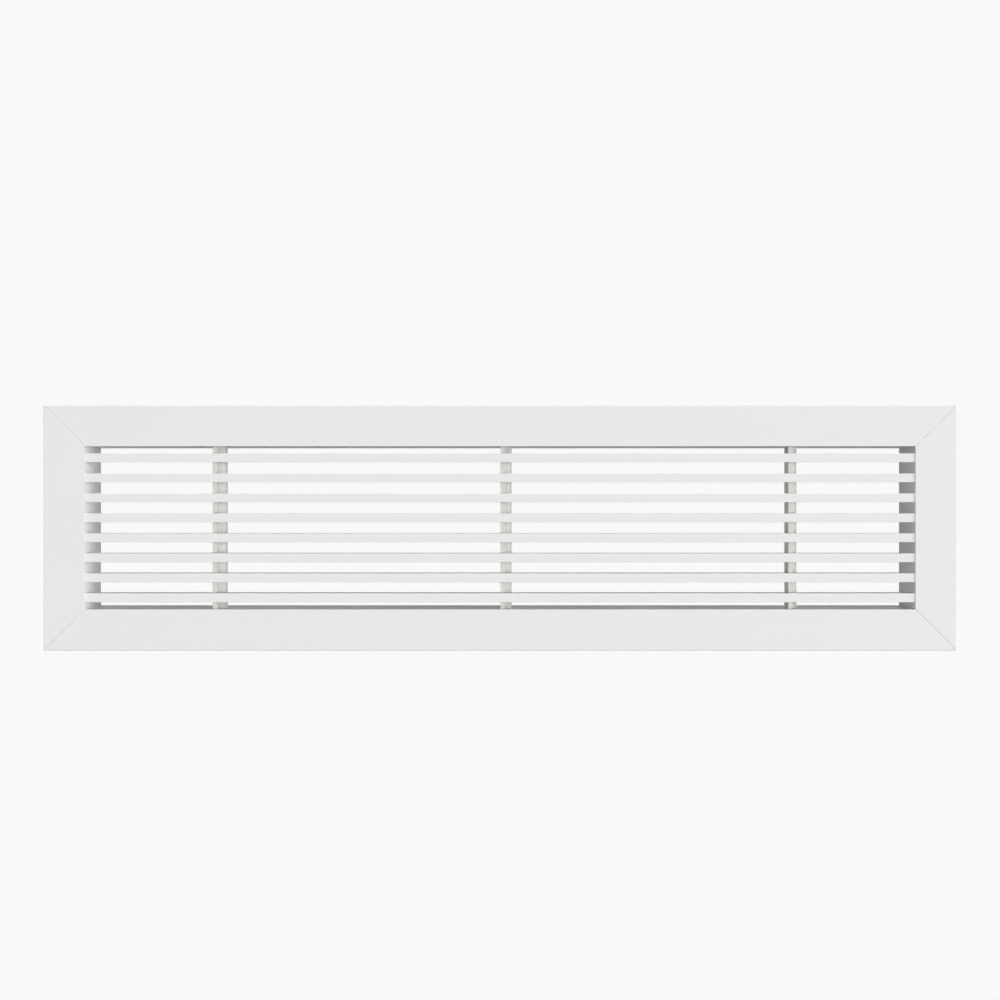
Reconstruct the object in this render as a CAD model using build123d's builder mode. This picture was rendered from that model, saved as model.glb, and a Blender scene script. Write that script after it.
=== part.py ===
from build123d import *
import os

os.makedirs("parts", exist_ok=True)

# Linear bar grille for a wall opening, all sizes in millimetres.
# The wall plane is Y = 0. The face looks towards -Y, Z is up and X runs along the blades.
# The origin is the centre of the opening, in the wall plane.

# Opening and frame profile
opening_width = 518.8
opening_height = 102.0
border = 25.6  # width of the face from the outer edge to the opening
frame_depth = 36.0  # face to the rear edge of the collar
face_wall = 1.5
return_wall = 1.4  # lip along the outer edge that meets the wall
collar_wall = 1.4
edge_radius = 0.4  # outer edge of the face
corner_radius = 1.1  # outer corners, seen from the front
mitre_bevel = 0.3  # groove that shows along each mitre
length_tolerance = 0.001  # two lengths this close count as equal

# Corner keys and the channel that holds them
key_width = 10.6
key_thickness = 1.5
key_leg = 34.0
key_clearance = 0.1
rib_wall = 1.0
rib_lip = 1.3  # how far the channel's lips reach over the key
rib_lip_wall = 0.8

# Foam seal behind the face
seal_width = 4.5
seal_clearance = 0.2

# Blades
blade_pitch = 12.5
blade_height = 5.5  # front face
blade_rear_height = 4.0
blade_depth = 12.4
blade_recess = 0.7  # front of the blades behind the face
blade_edge_radius = 0.2
least_end_gap = 4.0  # between the outermost blades and the frame
blade_tenon_depth = 6.0
blade_tenon_height = 2.4

# Mullions
mullion_count = 3
end_bay = 78.7  # side wall to the line of the first mullion
web_shift = 0.3  # left face of the web from its line
web_wall = 2.65
mullion_depth = 12.5
mullion_recess = 4.0  # front of the web behind the front of the blades
foot_width = 7.1  # web and foot together
foot_gap = 0.4  # front of the foot behind the blades
foot_step_width = 1.3
foot_step_depth = 0.9
foot_slope_width = 1.1  # slope along the front of the foot, beside its step
foot_slope_depth = 0.7
slot_clearance = 0.1
mullion_tenon_width = 4.0
mullion_tenon_depth = 2.0
tenon_clearance = 0.1

# Spring clips and their rivets
clip_width = 16.0
clip_thickness = 0.5
clip_base = 16.0
clip_inset = 2.0  # rear bend from the collar's rear edge
clip_rise = 4.0  # height of the rear bend
clip_height = 9.5  # highest point of the leaf above the collar
clip_reach = 18.0  # rear bend to the leaf's highest point
clip_lip = 3.0
clip_lip_drop = 2.0
clip_bend_back = 2.0
clip_bend_radius = 0.9
rivet_radius = 1.6
rivet_head_radius = 2.8
rivet_head_height = 0.9
rivet_spacing = 8.0
rivet_inset = 5.5  # from the front end of the clip's base
rivet_clearance = 0.05
rivet_head_taper = 30  # degrees

# Depths and half sizes that follow
channel_depth = key_thickness + 2 * key_clearance
flange_depth = face_wall + channel_depth + rib_lip_wall
channel_width = key_width + 2 * key_clearance
seal_inset = return_wall + seal_clearance
channel_start = seal_inset + seal_width + seal_clearance + rib_wall
face_y = -flange_depth
collar_end_y = frame_depth - flange_depth
half_opening_width = opening_width / 2
half_opening_height = opening_height / 2
half_width = half_opening_width + border
half_height = half_opening_height + border

# Blade rows, from the top down
blade_front_y = face_y + blade_recess
blade_rear_y = blade_front_y + blade_depth
blade_room = opening_height - 2 * least_end_gap - blade_height
blade_count = int(blade_room // blade_pitch) + 1
blade_span = (blade_count - 1) * blade_pitch
blade_heights = [blade_span / 2 - row * blade_pitch for row in range(blade_count)]
blade_tenon_y = blade_front_y + blade_depth / 2
blade_tenon_rise = (blade_height - blade_rear_height) / 2  # above the middle of the front face

# Mullion lines, from left to right
mullion_pitch = (opening_width - 2 * end_bay) / (mullion_count - 1)
mullion_lines = [end_bay - half_opening_width + step * mullion_pitch for step in range(mullion_count)]
web_front_y = blade_front_y + mullion_recess
foot_front_y = blade_rear_y + foot_gap
mullion_rear_y = web_front_y + mullion_depth
mullion_tenon_x = web_shift + foot_width / 2
mullion_tenon_y = (foot_front_y + foot_step_depth + mullion_rear_y) / 2

# Clips stand behind the frame, in the middle of the bays between mullions
clip_rear_y = collar_end_y - clip_inset
clip_front_y = clip_rear_y - clip_base
clip_centres = [line + mullion_pitch / 2 for line in mullion_lines[:-1]]
rivet_y = clip_front_y + rivet_inset
rivet_columns = [centre + side * rivet_spacing / 2 for centre in clip_centres for side in (-1, 1)]


def save(piece, name):
    piece.part.label = name
    export_step(piece.part, f"parts/{name}.step")


# Frame: one extruded section, cut to length with a mitre at both ends
outer_corners = [
    (-half_width, -half_height),
    (half_width, -half_height),
    (half_width, half_height),
    (-half_width, half_height),
]
inner_corners = [
    (-half_opening_width, -half_opening_height),
    (half_opening_width, -half_opening_height),
    (half_opening_width, half_opening_height),
    (-half_opening_width, half_opening_height),
]
low_corner = (Align.MIN, Align.MIN)


def draw_frame_section():
    # Local X runs inward from the outer edge, local Y runs back from the face.
    Rectangle(border, face_wall, align=low_corner)
    Rectangle(return_wall, flange_depth, align=low_corner)
    with Locations((border - collar_wall, 0)):
        Rectangle(collar_wall, frame_depth, align=low_corner)
    with Locations((channel_start - rib_wall, 0), (channel_start + channel_width, 0)):
        Rectangle(rib_wall, flange_depth, align=low_corner)
    lip_start = face_wall + channel_depth
    with Locations((channel_start, lip_start), (channel_start + channel_width - rib_lip, lip_start)):
        Rectangle(rib_lip, rib_lip_wall, align=low_corner)
    fillet(vertices().group_by(Axis.Y)[0].sort_by(Axis.X)[0], radius=edge_radius)


def runs_diagonally(edge):
    run = edge @ 1 - edge @ 0
    return abs(abs(run.X) - abs(run.Z)) < length_tolerance


def cut_tenon_slots(side):
    with BuildSketch(Plane.YZ.offset(side * half_opening_width)) as slots:
        with Locations(*[(blade_tenon_y, height + blade_tenon_rise) for height in blade_heights]):
            Rectangle(blade_tenon_depth + 2 * tenon_clearance, blade_tenon_height + 2 * tenon_clearance)
    extrude(slots.sketch, amount=side * collar_wall, mode=Mode.SUBTRACT)


def cut_mullion_and_rivet_holes(side):
    with BuildSketch(Plane.XY.offset(side * half_opening_height)) as holes:
        with Locations(*[(line + mullion_tenon_x, mullion_tenon_y) for line in mullion_lines]):
            Rectangle(mullion_tenon_width + 2 * tenon_clearance, mullion_tenon_depth + 2 * tenon_clearance)
        with Locations(*[(column, rivet_y) for column in rivet_columns]):
            Circle(rivet_radius + rivet_clearance)
    extrude(holes.sketch, amount=side * collar_wall, mode=Mode.SUBTRACT)


frame_sides = [
    ("frame_bottom", Vector(0, 0, 1), half_height, half_width, -1),
    ("frame_right", Vector(-1, 0, 0), half_width, half_height, 1),
    ("frame_top", Vector(0, 0, -1), half_height, half_width, 1),
    ("frame_left", Vector(1, 0, 0), half_width, half_height, -1),
]
for index, (name, inward, distance, half_length, side) in enumerate(frame_sides):
    edge_middle = inward * -distance + Vector(0, face_y, 0)
    section_plane = Plane(origin=edge_middle, x_dir=inward, z_dir=inward.cross(Vector(0, 1, 0)))
    after = (index + 1) % len(frame_sides)
    mitre_outline = [outer_corners[index], outer_corners[after], inner_corners[after], inner_corners[index]]
    with BuildPart() as frame_side:
        with BuildSketch(section_plane):
            draw_frame_section()
        extrude(amount=half_length, both=True)
        with BuildSketch(Plane.XZ):
            with BuildLine():
                Polyline(*mitre_outline, close=True)
            make_face()
        extrude(amount=frame_depth, both=True, mode=Mode.INTERSECT)
        with BuildSketch(Plane.XZ):
            RectangleRounded(2 * half_width, 2 * half_height, corner_radius)
        extrude(amount=frame_depth, both=True, mode=Mode.INTERSECT)
        mitre_edges = faces().sort_by(Axis.Y)[0].edges().filter_by(runs_diagonally)
        chamfer(mitre_edges, length=mitre_bevel)
        if inward.X:
            cut_tenon_slots(side)
        else:
            cut_mullion_and_rivet_holes(side)
    save(frame_side, name)

# Corner keys: flat angles that lie in the channels of two neighbouring profiles
key_offset = channel_start + key_clearance
key_y = face_y + face_wall + key_clearance
key_corners = {
    "corner_key_bottom_left": (-1, -1),
    "corner_key_bottom_right": (1, -1),
    "corner_key_top_right": (1, 1),
    "corner_key_top_left": (-1, 1),
}
for name, (side_x, side_z) in key_corners.items():
    outline = [
        (0, 0),
        (key_leg, 0),
        (key_leg, key_width),
        (key_width, key_width),
        (key_width, key_leg),
        (0, key_leg),
    ]
    corner_x = half_width - key_offset
    corner_z = half_height - key_offset
    placed = [(side_x * (corner_x - x), side_z * (corner_z - z)) for x, z in outline]
    with BuildPart() as corner_key:
        with BuildSketch(Plane.XZ.offset(-key_y)):
            with BuildLine():
                Polyline(*placed, close=True)
            make_face()
        extrude(amount=-key_thickness)
    save(corner_key, name)

# Foam seals: long strips above and below, short ones between them
seal_thickness = flange_depth - face_wall
long_seal = 2 * (half_width - seal_inset)
short_seal = 2 * (half_height - seal_inset - seal_width - seal_clearance)
seal_x = half_width - seal_inset - seal_width / 2
seal_z = half_height - seal_inset - seal_width / 2
seal_strips = {
    "seal_bottom": (0, -seal_z, long_seal, seal_width),
    "seal_right": (seal_x, 0, seal_width, short_seal),
    "seal_top": (0, seal_z, long_seal, seal_width),
    "seal_left": (-seal_x, 0, seal_width, short_seal),
}
for name, (middle_x, middle_z, size_x, size_z) in seal_strips.items():
    with BuildPart() as seal:
        with BuildSketch(Plane.XZ):
            with Locations((middle_x, middle_z)):
                Rectangle(size_x, size_z)
        extrude(amount=seal_thickness)
    save(seal, name)


# Blades: flat on top, with the underside rising to the rear
def draw_blade_section(height):
    top = height + blade_height / 2
    outline = [
        (blade_front_y, top),
        (blade_rear_y, top),
        (blade_rear_y, top - blade_rear_height),
        (blade_front_y, top - blade_height),
    ]
    Polygon(*outline, align=None)


for row, height in enumerate(blade_heights, start=1):
    with BuildPart() as blade:
        with BuildSketch(Plane.YZ):
            draw_blade_section(height)
            fillet(vertices(), radius=blade_edge_radius)
        extrude(amount=half_opening_width, both=True)
        with BuildSketch(Plane.YZ):
            with Locations((blade_tenon_y, height + blade_tenon_rise)):
                Rectangle(blade_tenon_depth, blade_tenon_height)
        extrude(amount=half_opening_width + collar_wall, both=True)
    save(blade, f"blade_{row}")

# Mullions: a web with a slot for each blade, and a stepped foot behind the blades
for number, line in enumerate(mullion_lines, start=1):
    left = line + web_shift
    right = left + foot_width
    step = right - foot_step_width
    step_y = foot_front_y + foot_step_depth
    outline = [
        (left, web_front_y),
        (left + web_wall, web_front_y),
        (left + web_wall, foot_front_y),
        (step - foot_slope_width, foot_front_y),
        (step, foot_front_y + foot_slope_depth),
        (step, step_y),
        (right, step_y),
        (right, mullion_rear_y),
        (left, mullion_rear_y),
    ]
    with BuildPart() as mullion:
        with BuildSketch(Plane.XY):
            with BuildLine():
                Polyline(*outline, close=True)
            make_face()
        extrude(amount=half_opening_height, both=True)
        with BuildSketch(Plane.XY):
            with Locations((line + mullion_tenon_x, mullion_tenon_y)):
                Rectangle(mullion_tenon_width, mullion_tenon_depth)
        extrude(amount=half_opening_height + collar_wall, both=True)
        for height in blade_heights:
            with BuildSketch(Plane.YZ.offset(left)):
                draw_blade_section(height)
                offset(amount=slot_clearance, kind=Kind.INTERSECTION)
            extrude(amount=foot_width, mode=Mode.SUBTRACT)
    save(mullion, f"mullion_{number}")

# Spring clips: bent strips riveted to the top and bottom of the collar
clip_path = [
    (clip_front_y, clip_thickness / 2),
    (clip_rear_y, clip_thickness / 2),
    (clip_rear_y - clip_bend_back, clip_rise),
    (clip_rear_y - clip_reach, clip_height),
    (clip_rear_y - clip_reach - clip_lip, clip_height - clip_lip_drop),
]
collar_top = half_opening_height + collar_wall
clip_rows = {"top": 1, "bottom": -1}
for row_name, side in clip_rows.items():
    placed = [(y, side * (collar_top + rise)) for y, rise in clip_path]
    for number, centre in enumerate(clip_centres, start=1):
        with BuildPart() as clip:
            with BuildSketch(Plane.YZ.offset(centre)):
                with BuildLine():
                    FilletPolyline(*placed, radius=clip_bend_radius)
                trace(line_width=clip_thickness)
            extrude(amount=clip_width / 2, both=True)
            with BuildSketch(Plane.XY.offset(side * collar_top)):
                with Locations((centre - rivet_spacing / 2, rivet_y), (centre + rivet_spacing / 2, rivet_y)):
                    Circle(rivet_radius + rivet_clearance)
            extrude(amount=side * clip_thickness, mode=Mode.SUBTRACT)
        save(clip, f"spring_clip_{row_name}_{number}")

with BuildPart() as clip_rivets:
    for side in clip_rows.values():
        with BuildSketch(Plane.XY.offset(side * half_opening_height)):
            with Locations(*[(column, rivet_y) for column in rivet_columns]):
                Circle(rivet_radius)
        extrude(amount=side * (collar_wall + clip_thickness))
        with BuildSketch(Plane.XY.offset(side * (collar_top + clip_thickness))):
            with Locations(*[(column, rivet_y) for column in rivet_columns]):
                Circle(rivet_head_radius)
        extrude(amount=side * rivet_head_height, taper=rivet_head_taper)
save(clip_rivets, "clip_rivets")
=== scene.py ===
import math

import bmesh
import bpy
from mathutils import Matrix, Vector, noise


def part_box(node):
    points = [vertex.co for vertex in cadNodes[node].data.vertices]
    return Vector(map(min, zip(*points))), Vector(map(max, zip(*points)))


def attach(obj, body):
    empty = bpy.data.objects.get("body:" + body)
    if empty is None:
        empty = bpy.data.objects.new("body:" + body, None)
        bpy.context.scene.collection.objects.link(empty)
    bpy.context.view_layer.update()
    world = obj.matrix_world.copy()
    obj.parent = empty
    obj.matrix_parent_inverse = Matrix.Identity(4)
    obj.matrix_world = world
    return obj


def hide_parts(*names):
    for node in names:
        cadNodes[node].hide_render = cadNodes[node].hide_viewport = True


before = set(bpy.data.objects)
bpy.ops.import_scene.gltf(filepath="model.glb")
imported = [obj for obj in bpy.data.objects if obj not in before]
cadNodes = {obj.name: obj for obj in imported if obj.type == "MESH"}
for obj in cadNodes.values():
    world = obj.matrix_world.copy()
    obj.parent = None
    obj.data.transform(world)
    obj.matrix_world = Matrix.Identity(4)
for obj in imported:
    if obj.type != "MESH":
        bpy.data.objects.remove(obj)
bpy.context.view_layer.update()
mm = 0.001
print("frame loaded:", len(cadNodes), "nodes")


def addNode(tree, kind, place, **settings):
    node = tree.nodes.new(kind)
    node.location = place
    for name, value in settings.items():
        setattr(node, name, value)
    return node


def addGroup(name, inputs, outputs):
    tree = bpy.data.node_groups.new(name, "ShaderNodeTree")
    for label, kind, value in inputs:
        socket = tree.interface.new_socket(label, in_out="INPUT", socket_type=kind)
        socket.default_value = value
    for label, kind in outputs:
        tree.interface.new_socket(label, in_out="OUTPUT", socket_type=kind)
    start = addNode(tree, "NodeGroupInput", (-900, 0))
    end = addNode(tree, "NodeGroupOutput", (700, 0))
    return tree, start, end


def addNoise(tree, place, source, scale, detail=2.0, roughness=0.5):
    node = addNode(tree, "ShaderNodeTexNoise", place)
    node.inputs["Detail"].default_value = detail
    node.inputs["Roughness"].default_value = roughness
    tree.links.new(source, node.inputs["Vector"])
    if isinstance(scale, (int, float)):
        node.inputs["Scale"].default_value = scale
    else:
        tree.links.new(scale, node.inputs["Scale"])
    return node


def addMath(tree, place, operation, first, second, clamp=False):
    node = addNode(tree, "ShaderNodeMath", place, operation=operation, use_clamp=clamp)
    for socket, value in zip(node.inputs, (first, second)):
        if isinstance(value, (int, float)):
            socket.default_value = value
        else:
            tree.links.new(value, socket)
    return node.outputs[0]


# Powder coat: orange peel, slow cloudiness and pinhead specks
def makeCoatGrain():
    tree, start, end = addGroup(
        "coatGrain",
        [("Peel per metre", "NodeSocketFloat", 700.0), ("Specks per metre", "NodeSocketFloat", 2500.0)],
        [("Height", "NodeSocketFloat"), ("Tone", "NodeSocketFloat"), ("Sheen", "NodeSocketFloat")],
    )
    place = addNode(tree, "ShaderNodeTexCoord", (-700, 200)).outputs["Object"]
    peel = addNoise(tree, (-450, 300), place, start.outputs["Peel per metre"], detail=1.5)
    specks = addNoise(tree, (-450, 0), place, start.outputs["Specks per metre"], detail=3.0)
    clouds = addNoise(tree, (-450, -300), place, 14.0, detail=2.0)
    fine = addMath(tree, (-200, 200), "MULTIPLY", specks.outputs["Fac"], 0.25)
    height = addMath(tree, (0, 250), "ADD", peel.outputs["Fac"], fine)
    part = addMath(tree, (-200, -50), "MULTIPLY", specks.outputs["Fac"], 0.35)
    rest = addMath(tree, (-200, -250), "MULTIPLY", clouds.outputs["Fac"], 0.65)
    tone = addMath(tree, (0, -150), "ADD", part, rest)
    tree.links.new(height, end.inputs["Height"])
    tree.links.new(tone, end.inputs["Tone"])
    tree.links.new(clouds.outputs["Fac"], end.inputs["Sheen"])
    return tree


# Rolled or drawn metal: streaks that run along one direction
def makeDrawnGrain():
    tree, start, end = addGroup(
        "drawnGrain",
        [("Streaks per metre", "NodeSocketVector", (4000.0, 60.0, 60.0))],
        [("Height", "NodeSocketFloat"), ("Tone", "NodeSocketFloat"), ("Stain", "NodeSocketFloat")],
    )
    place = addNode(tree, "ShaderNodeTexCoord", (-900, 200)).outputs["Object"]
    stretch = addNode(tree, "ShaderNodeVectorMath", (-650, 150), operation="MULTIPLY")
    tree.links.new(place, stretch.inputs[0])
    tree.links.new(start.outputs["Streaks per metre"], stretch.inputs[1])
    streaks = addNoise(tree, (-400, 250), stretch.outputs["Vector"], 1.0, detail=4.0, roughness=0.65)
    stains = addNoise(tree, (-400, -100), place, 90.0, detail=4.0, roughness=0.6)
    part = addMath(tree, (-150, 150), "MULTIPLY", streaks.outputs["Fac"], 0.7)
    rest = addMath(tree, (-150, -50), "MULTIPLY", stains.outputs["Fac"], 0.3)
    tone = addMath(tree, (100, 50), "ADD", part, rest)
    tree.links.new(streaks.outputs["Fac"], end.inputs["Height"])
    tree.links.new(tone, end.inputs["Tone"])
    tree.links.new(stains.outputs["Fac"], end.inputs["Stain"])
    return tree


coatGrain = makeCoatGrain()
drawnGrain = makeDrawnGrain()


def useGroup(tree, group, place, values):
    node = addNode(tree, "ShaderNodeGroup", place, node_tree=group)
    for name, value in values.items():
        node.inputs[name].default_value = value
    return node


def addRange(tree, place, source, low, high, fromLow=0.3, fromHigh=0.7):
    node = addNode(tree, "ShaderNodeMapRange", place)
    node.inputs["From Min"].default_value = fromLow
    node.inputs["From Max"].default_value = fromHigh
    node.inputs["To Min"].default_value = low
    node.inputs["To Max"].default_value = high
    tree.links.new(source, node.inputs["Value"])
    return node.outputs["Result"]


def addTint(tree, place, factor, low, high):
    node = addNode(tree, "ShaderNodeMix", place, data_type="RGBA")
    node.inputs["A"].default_value = (*low, 1)
    node.inputs["B"].default_value = (*high, 1)
    tree.links.new(factor, node.inputs["Factor"])
    return node.outputs["Result"]


def addBump(tree, shader, height, depth, strength=1.0, edgeRadius=0.0):
    bump = addNode(tree, "ShaderNodeBump", (100, -350))
    bump.inputs["Strength"].default_value = strength
    bump.inputs["Distance"].default_value = depth
    tree.links.new(height, bump.inputs["Height"])
    if edgeRadius:
        bevel = addNode(tree, "ShaderNodeBevel", (-150, -500), samples=4)
        bevel.inputs["Radius"].default_value = edgeRadius
        tree.links.new(bevel.outputs["Normal"], bump.inputs["Normal"])
    tree.links.new(bump.outputs["Normal"], shader.inputs["Normal"])


def startMaterial(name):
    material = bpy.data.materials.new(name)
    material.use_nodes = True
    tree = material.node_tree
    return material, tree, tree.nodes["Principled BSDF"]


def shade(colour, factor):
    return tuple(channel * factor for channel in colour)


# Powder coat: white on the frame and blades; the mullions get the same white with painted shade, darker and yellower
# for the shade that falls on them between the blades
coatLooks = {
    "frameCoat": {"colour": (0.813, 0.817, 0.782), "peel": 620.0, "peelDepth": 0.006 * mm, "sheen": (0.53, 0.59),
                  "edge": 0.18 * mm},
    "bladeCoat": {"colour": (0.813, 0.817, 0.782), "peel": 760.0, "peelDepth": 0.005 * mm, "sheen": (0.53, 0.59),
                  "edge": 0.2 * mm},
    # painted shade: the mullions' white coat darkened and yellowed to stand in for the shade between the blades
    "mullionPaintedShadeCoat": {"colour": (0.698, 0.702, 0.655), "peel": 760.0, "peelDepth": 0.006 * mm, "sheen": (0.55, 0.61),
                    "edge": 0.15 * mm},
}
coatToneSpread = 0.008


def makeCoat(name):
    look = coatLooks[name]
    material, tree, shader = startMaterial(name)
    grain = useGroup(tree, coatGrain, (-500, 0), {"Peel per metre": look["peel"]})
    low = shade(look["colour"], 1 - coatToneSpread)
    high = shade(look["colour"], 1 + coatToneSpread)
    spread = addRange(tree, (-300, 200), grain.outputs["Tone"], 0.0, 1.0)
    tree.links.new(addTint(tree, (-100, 250), spread, low, high), shader.inputs["Base Color"])
    rough = addRange(tree, (-100, 0), grain.outputs["Sheen"], *look["sheen"])
    tree.links.new(rough, shader.inputs["Roughness"])
    shader.inputs["IOR"].default_value = 1.5
    addBump(tree, shader, grain.outputs["Height"], look["peelDepth"], edgeRadius=look["edge"])
    return material


# Bare metals: mill finish keys, spring steel clips, aluminium rivets
metalLooks = {
    "keyMill": {"colour": (0.58, 0.59, 0.60), "dark": 0.84, "streaks": (500.0, 500.0, 2600.0), "depth": 0.004 * mm,
                "sheen": (0.32, 0.46)},
    "clipSteel": {"colour": (0.56, 0.57, 0.59), "dark": 0.86, "streaks": (3200.0, 55.0, 55.0), "depth": 0.001 * mm,
                  "sheen": (0.22, 0.36)},
    "rivetMetal": {"colour": (0.70, 0.71, 0.72), "dark": 0.86, "streaks": (900.0, 900.0, 900.0), "depth": 0.006 * mm,
                   "sheen": (0.28, 0.42)},
    "mandrelSteel": {"colour": (0.42, 0.42, 0.43), "dark": 0.7, "streaks": (1500.0, 1500.0, 1500.0),
                     "depth": 0.02 * mm, "sheen": (0.35, 0.55)},
}
metalEdgeRadius = 0.1 * mm


def makeMetal(name):
    look = metalLooks[name]
    material, tree, shader = startMaterial(name)
    grain = useGroup(tree, drawnGrain, (-500, 0), {"Streaks per metre": look["streaks"]})
    spread = addRange(tree, (-300, 200), grain.outputs["Tone"], 0.0, 1.0)
    low = shade(look["colour"], look["dark"])
    tree.links.new(addTint(tree, (-100, 250), spread, low, look["colour"]), shader.inputs["Base Color"])
    rough = addRange(tree, (-100, 0), grain.outputs["Stain"], *look["sheen"])
    tree.links.new(rough, shader.inputs["Roughness"])
    shader.inputs["Metallic"].default_value = 1.0
    addBump(tree, shader, grain.outputs["Height"], look["depth"], edgeRadius=metalEdgeRadius)
    return material


# Closed cell foam: small dimples of mixed size
foamLook = {"dark": (0.020, 0.020, 0.022), "light": (0.060, 0.060, 0.063), "cells": 1500.0, "depth": 0.12 * mm,
            "sheen": (0.78, 0.95)}


def makeFoam():
    material, tree, shader = startMaterial("sealFoam")
    place = addNode(tree, "ShaderNodeTexCoord", (-900, 0)).outputs["Object"]
    cells = addNode(tree, "ShaderNodeTexVoronoi", (-650, 100), feature="SMOOTH_F1")
    cells.inputs["Scale"].default_value = foamLook["cells"]
    tree.links.new(place, cells.inputs["Vector"])
    patches = addNoise(tree, (-650, -200), place, 260.0, detail=3.0)
    part = addMath(tree, (-400, 100), "MULTIPLY", cells.outputs["Distance"], 0.8)
    both = addMath(tree, (-250, 0), "ADD", part, patches.outputs["Fac"])
    spread = addRange(tree, (-100, 200), both, 1.0, 0.0, fromLow=0.4, fromHigh=1.2)
    tree.links.new(addTint(tree, (0, 300), spread, foamLook["dark"], foamLook["light"]), shader.inputs["Base Color"])
    rough = addRange(tree, (-100, 0), patches.outputs["Fac"], *foamLook["sheen"])
    tree.links.new(rough, shader.inputs["Roughness"])
    addBump(tree, shader, spread, foamLook["depth"])
    return material


materials = {name: makeCoat(name) for name in coatLooks}
materials.update({name: makeMetal(name) for name in metalLooks})
materials["sealFoam"] = makeFoam()
print("materials made:", ", ".join(materials))


# CAD nodes keep their shape and get these materials; the mullions get the coat with painted shade
coatOf = {"frame": "frameCoat", "blade": "bladeCoat", "mullion": "mullionPaintedShadeCoat", "corner": "keyMill",
          "spring": "clipSteel", "seal": "sealFoam", "clip": "rivetMetal"}
for name, obj in cadNodes.items():
    material = materials[coatOf[name.split("_")[0]]]
    for index in range(len(obj.data.materials)):
        obj.data.materials[index] = material
print("CAD nodes dressed")


def addPiece(name, mesh, materialNames, hides=()):
    obj = bpy.data.objects.new(name, mesh)
    bpy.context.scene.collection.objects.link(obj)
    for materialName in materialNames:
        mesh.materials.append(materials[materialName])
    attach(obj, "root")
    if hides:
        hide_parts(*hides)
    return obj


def meshFrom(bm, name):
    bmesh.ops.recalc_face_normals(bm, faces=bm.faces)
    mesh = bpy.data.meshes.new(name)
    bm.to_mesh(mesh)
    bm.free()
    return mesh


# Foam seal: a strip with soft edges, crowned a little towards the wall, cut square at the ends
sealShape = {"step": 1.6 * mm, "edge": 0.45 * mm, "crown": 0.22 * mm, "wander": 0.10 * mm, "wave": 140.0,
             "cornerSteps": 3, "fill": 1.0}


def sealRing(width, depth):
    # across runs over the width, back runs from the face side (0) to the wall side (depth)
    edge = sealShape["edge"]
    steps = sealShape["cornerSteps"]
    ring = []
    corners = [(width / 2 - edge, depth - edge, 0), (-width / 2 + edge, depth - edge, 90),
               (-width / 2 + edge, edge, 180), (width / 2 - edge, edge, 270)]
    for across, back, turn in corners:
        for step in range(steps + 1):
            angle = math.radians(turn + 90 * step / steps)
            ring.append((across + edge * math.cos(angle), back + edge * math.sin(angle)))
        if turn == 0:  # points over the crown
            for part in (0.5, 0.0, -0.5):
                ring.append((across * part, depth))
    return ring


def addSeal(name, node):
    low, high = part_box(node)
    size = high - low
    along = 0 if size.x > size.z else 2
    across = 2 - along
    width, depth = size[across], size.y
    middle = (low + high) / 2
    count = round(size[along] / sealShape["step"])
    ring = sealRing(width, depth)
    bm = bmesh.new()
    rows = []
    for index in range(count + 1):
        travel = low[along] + size[along] * index / count
        row = []
        for offset, back in ring:
            point = Vector((0, 0, 0))
            point[along] = travel
            point[across] = middle[across] + offset
            point.y = low.y + back
            drift = noise.noise(point * sealShape["wave"] * 6) * 0.5 + 0.5
            inward = 1 - sealShape["wander"] * drift / (width / 2)
            point[across] = middle[across] + offset * inward
            crown = sealShape["crown"] * (2 * abs(offset) / width) ** 2 if back > depth / 2 else 0
            point.y -= crown + (sealShape["wander"] * drift * 0.5 if back > depth / 2 else 0)
            row.append(bm.verts.new(point))
        rows.append(row)
    for first, second in zip(rows, rows[1:]):
        for index in range(len(ring)):
            after = (index + 1) % len(ring)
            face = bm.faces.new((first[index], first[after], second[after], second[index]))
            face.smooth = True
    bm.faces.new(rows[0])
    bm.faces.new(rows[-1])
    seal = addPiece(name, meshFrom(bm, name), ["sealFoam"], [node])
    return seal


for side in ("top", "bottom", "left", "right"):
    addSeal("foamSeal" + side.capitalize(), "seal_" + side)
print("foam seals built")


# Blind rivets: a domed head, the broken end of its mandrel, and the shank in the collar
rivetShape = {"headRadius": 2.8 * mm, "headHeight": 0.85 * mm, "rim": 0.22 * mm, "hole": 1.05 * mm,
              "mandrel": 0.85 * mm, "mandrelTop": 0.45 * mm, "shank": 1.6 * mm, "shankEnd": 0.08 * mm,
              "grip": 1.9 * mm, "clipThickness": 0.5 * mm, "spacing": 8.0 * mm, "segments": 40}


def spinProfile(bm, middle, up, profile, segments, materialIndex=0):
    rings = []
    for radius, rise in profile:
        if radius < 1e-7:
            rings.append([bm.verts.new(middle + up * rise)])
            continue
        ring = []
        for step in range(segments):
            angle = math.tau * step / segments
            ring.append(bm.verts.new(middle + up * rise + Vector((math.cos(angle), math.sin(angle), 0)) * radius))
        rings.append(ring)
    for first, second in zip(rings, rings[1:]):
        for step in range(segments):
            after = (step + 1) % segments
            corners = [first[step % len(first)], first[after % len(first)],
                       second[after % len(second)], second[step % len(second)]]
            face = bm.faces.new(list(dict.fromkeys(corners)))
            face.smooth = True
            face.material_index = materialIndex


def rivetProfile():
    head, rim, hole = rivetShape["headRadius"], rivetShape["rim"], rivetShape["hole"]
    top = rivetShape["headHeight"]
    profile = [(head * 0.97, 0.0), (head, rim * 0.4), (head, rim)]
    steps = 9
    for step in range(1, steps + 1):
        part = step / steps
        radius = head + (hole * 1.12 - head) * part
        profile.append((radius, rim + (top - rim) * math.sin(part * math.pi / 2)))
    profile += [(hole, top * 0.93), (hole, top * 0.3)]
    return profile


def mandrelProfile():
    radius, top = rivetShape["mandrel"], rivetShape["mandrelTop"]
    return [(rivetShape["hole"], top * 0.4), (radius, top * 0.5), (radius * 0.96, top * 0.9), (radius * 0.7, top),
            (radius * 0.3, top * 0.86), (0.0, top * 0.95)]


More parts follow.
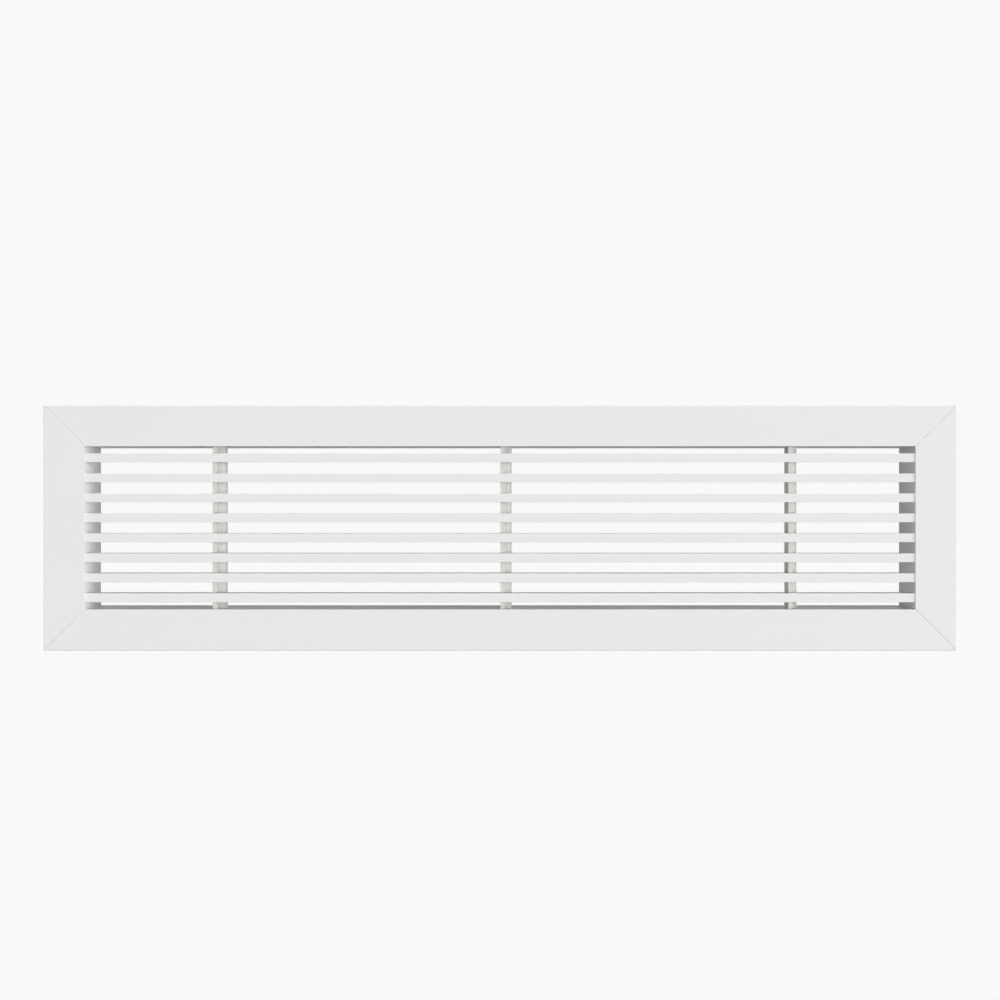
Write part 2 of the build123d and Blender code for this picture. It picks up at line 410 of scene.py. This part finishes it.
def addRivet(bm, seat, up):
    segments, shank, end = rivetShape["segments"], rivetShape["shank"], rivetShape["shankEnd"]
    depth = rivetShape["grip"]
    spinProfile(bm, seat, up, rivetProfile(), segments)
    spinProfile(bm, seat, up, mandrelProfile(), segments, 1)
    tube = [(shank, 0.0), (shank, end - depth), (shank - end, -depth), (0.0, -depth)]
    spinProfile(bm, seat, up, tube, segments)


def addRivets():
    low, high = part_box("clip_rivets")
    bm = bmesh.new()
    for side, row in ((1, "top"), (-1, "bottom")):
        for number in (1, 2):
            clipLow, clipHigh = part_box(f"spring_clip_{row}_{number}")
            clipX = (clipLow.x + clipHigh.x) / 2
            collarZ = clipLow.z if side > 0 else clipHigh.z
            for offset in (-0.5, 0.5):
                seat = Vector((clipX + offset * rivetShape["spacing"], (low.y + high.y) / 2, collarZ))
                seat.z += side * rivetShape["clipThickness"]
                addRivet(bm, seat, Vector((0, 0, side)))
    mesh = meshFrom(bm, "clipRivets")
    return addPiece("clipRivets", mesh, ["rivetMetal", "mandrelSteel"], ["clip_rivets"])


addRivets()
print("rivets built")


# Staked ends: where each blade and mullion tenon is peened over on the outside of the collar
stakeShape = {
    "bladeTenon": (6.0 * mm, 2.4 * mm),  # along Y, then Z
    "bladeTenonY": 2.9 * mm,
    "bladeTenonRise": 0.75 * mm,
    "mullionTenon": (4.0 * mm, 2.0 * mm),  # along X, then Y
    "mullionTenonFromRear": 1.4 * mm,
    "height": 0.32 * mm,
    "overhang": 0.30 * mm,
    "squareness": 5.0,
    "points": 48,
}
# part of the half length, part of the half width, part of the height: rim, crown, then the chisel mark
stakeRings = ((0.97, 0.95, 0.0), (1.0, 1.0, 0.3), (0.97, 0.94, 0.8), (0.88, 0.78, 1.0), (0.78, 0.36, 0.94),
              (0.72, 0.18, 0.6), (0.66, 0.04, 0.3))


def addStake(bm, middle, longWay, shortWay, out, size):
    halfLong = size[0] / 2 + stakeShape["overhang"]
    halfShort = size[1] / 2 + stakeShape["overhang"]
    count, power = stakeShape["points"], 2 / stakeShape["squareness"]
    rows = []
    for longPart, shortPart, rise in stakeRings:
        row = []
        for step in range(count):
            angle = math.tau * (step + 0.5) / count
            across, along = math.sin(angle), math.cos(angle)
            farLong = math.copysign(abs(along) ** power, along) * halfLong * longPart
            farShort = math.copysign(abs(across) ** power, across) * halfShort * shortPart
            wobble = noise.noise((middle + longWay * farLong * 3) * 900) * 0.12
            height = stakeShape["height"] * rise * (1 + wobble * rise)
            row.append(bm.verts.new(middle + longWay * farLong + shortWay * farShort + out * height))
        rows.append(row)
    for first, second in zip(rows, rows[1:]):
        for step in range(count):
            after = (step + 1) % count
            bm.faces.new((first[step], first[after], second[after], second[step])).smooth = True
    bm.faces.new(rows[-1])
    bm.faces.new(rows[0])


def addStakedEnds():
    right, back, up = Vector((1, 0, 0)), Vector((0, 1, 0)), Vector((0, 0, 1))
    bm = bmesh.new()
    for name in cadNodes:
        low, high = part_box(name)
        middle = (low + high) / 2
        if name.startswith("blade_"):
            for side, x in ((-1, low.x), (1, high.x)):
                place = Vector((x, stakeShape["bladeTenonY"], middle.z + stakeShape["bladeTenonRise"]))
                addStake(bm, place, back, up, right * side, stakeShape["bladeTenon"])
        if name.startswith("mullion_"):
            for side, z in ((-1, low.z), (1, high.z)):
                place = Vector((middle.x, high.y - stakeShape["mullionTenonFromRear"], z))
                addStake(bm, place, right, back, up * side, stakeShape["mullionTenon"])
    return addPiece("stakedEnds", meshFrom(bm, "stakedEnds"), ["bladeCoat"])


addStakedEnds()
print("staked ends built")


# Studio: far soft lamps given by their side and height, a pale floor well below, a white backdrop
studio = {
    "backdrop": (0.947, 0.947, 0.947),
    "ambient": (0.012, 0.012, 0.011),
    "floorHeight": -1.0,
    "floorRadius": 40.0,
    "floorColour": (0.869, 0.873, 0.839),
    "floorLift": 0.295,
}
# name: (turn to the right of the front, height above the horizon, strength, softness, colour), angles in degrees
paperWhite = (0.987, 0.982, 1.024)
lamps = {
    "frontLamp": (12.0, 0.0, 1.08, 36.0, paperWhite),
    "keyLamp": (55.0, 0.0, 1.45, 25.0, paperWhite),
    "edgeLamp": (72.0, 0.0, 0.71, 20.0, paperWhite),
    "skyLamp": (0.0, 75.0, 2.21, 20.0, paperWhite),
    "fillLamp": (-60.0, 0.0, 0.60, 30.0, paperWhite),
    "backLamp": (183.0, 0.0, 1.57, 10.0, paperWhite),
}


def aimAt(obj, toLamp):
    obj.rotation_mode = "QUATERNION"
    obj.rotation_quaternion = toLamp.to_track_quat("Z", "Y")


def addLamp(name, turn, height, strength, softness, colour):
    data = bpy.data.lights.new(name, "SUN")
    data.energy = strength
    data.angle = math.radians(softness)
    data.color = colour
    obj = bpy.data.objects.new(name, data)
    bpy.context.scene.collection.objects.link(obj)
    turn, height = math.radians(turn), math.radians(height)
    aimAt(obj, Vector((math.sin(turn) * math.cos(height), -math.cos(turn) * math.cos(height), math.sin(height))))
    obj.visible_glossy = abs(turn) < math.pi / 2  # from behind it would only glare on the inner walls


def seenByCamera(tree):
    path = addNode(tree, "ShaderNodeLightPath", (-700, 300))
    first = addMath(tree, (-500, 300), "MAXIMUM", path.outputs["Is Camera Ray"], path.outputs["Is Glossy Ray"])
    return addMath(tree, (-300, 300), "MAXIMUM", first, path.outputs["Is Transmission Ray"])


def buildWorld():
    world = bpy.data.worlds.new("studioWorld")
    world.use_nodes = True
    bpy.context.scene.world = world
    tree = world.node_tree
    tree.nodes.clear()
    light = addNode(tree, "ShaderNodeBackground", (-100, 0))
    light.inputs["Color"].default_value = (*studio["ambient"], 1)
    seen = addNode(tree, "ShaderNodeBackground", (-100, -150))
    seen.inputs["Color"].default_value = (*studio["backdrop"], 1)
    mix = addNode(tree, "ShaderNodeMixShader", (150, 0))
    tree.links.new(seenByCamera(tree), mix.inputs["Fac"])
    tree.links.new(light.outputs[0], mix.inputs[1])
    tree.links.new(seen.outputs[0], mix.inputs[2])
    end = addNode(tree, "ShaderNodeOutputWorld", (350, 0))
    tree.links.new(mix.outputs[0], end.inputs["Surface"])


def buildFloor():
    bm = bmesh.new()
    bmesh.ops.create_circle(bm, cap_ends=True, segments=96, radius=studio["floorRadius"])
    mesh = meshFrom(bm, "floor")
    floor = bpy.data.objects.new("floor", mesh)
    floor.location.z = studio["floorHeight"]
    bpy.context.scene.collection.objects.link(floor)
    material, tree, shader = startMaterial("floorPaper")
    shader.inputs["Base Color"].default_value = (*studio["floorColour"], 1)
    shader.inputs["Roughness"].default_value = 1.0
    shader.inputs["Specular IOR Level"].default_value = 0.0
    glow = addNode(tree, "ShaderNodeEmission", (0, -500))
    lift = addMath(tree, (-150, -500), "MULTIPLY", seenByCamera(tree), studio["floorLift"])
    tree.links.new(lift, glow.inputs["Strength"])
    both = addNode(tree, "ShaderNodeAddShader", (300, -200))
    tree.links.new(shader.outputs[0], both.inputs[0])
    tree.links.new(glow.outputs[0], both.inputs[1])
    tree.links.new(both.outputs[0], tree.nodes["Material Output"].inputs["Surface"])
    mesh.materials.append(material)
    floor.visible_shadow = False  # lamps and sky also reach the part from below, as from a white room
    floor.visible_diffuse = False


buildWorld()
buildFloor()
for name, values in lamps.items():
    addLamp(name, *values)

# Camera: level, in front of the middle and a little above it
camera = {"distance": 0.871, "height": 0.01742, "lens": 50.0}
cameraData = bpy.data.cameras.new("frontCamera")
cameraData.lens = camera["lens"]
cameraData.clip_end = 200.0
cameraObject = bpy.data.objects.new("frontCamera", cameraData)
cameraObject.location = (0, -camera["distance"], camera["height"])
cameraObject.rotation_euler = (math.radians(90), 0, 0)
bpy.context.scene.collection.objects.link(cameraObject)
bpy.context.scene.camera = cameraObject
bpy.context.scene.view_settings.view_transform = "Standard"
print("studio built")
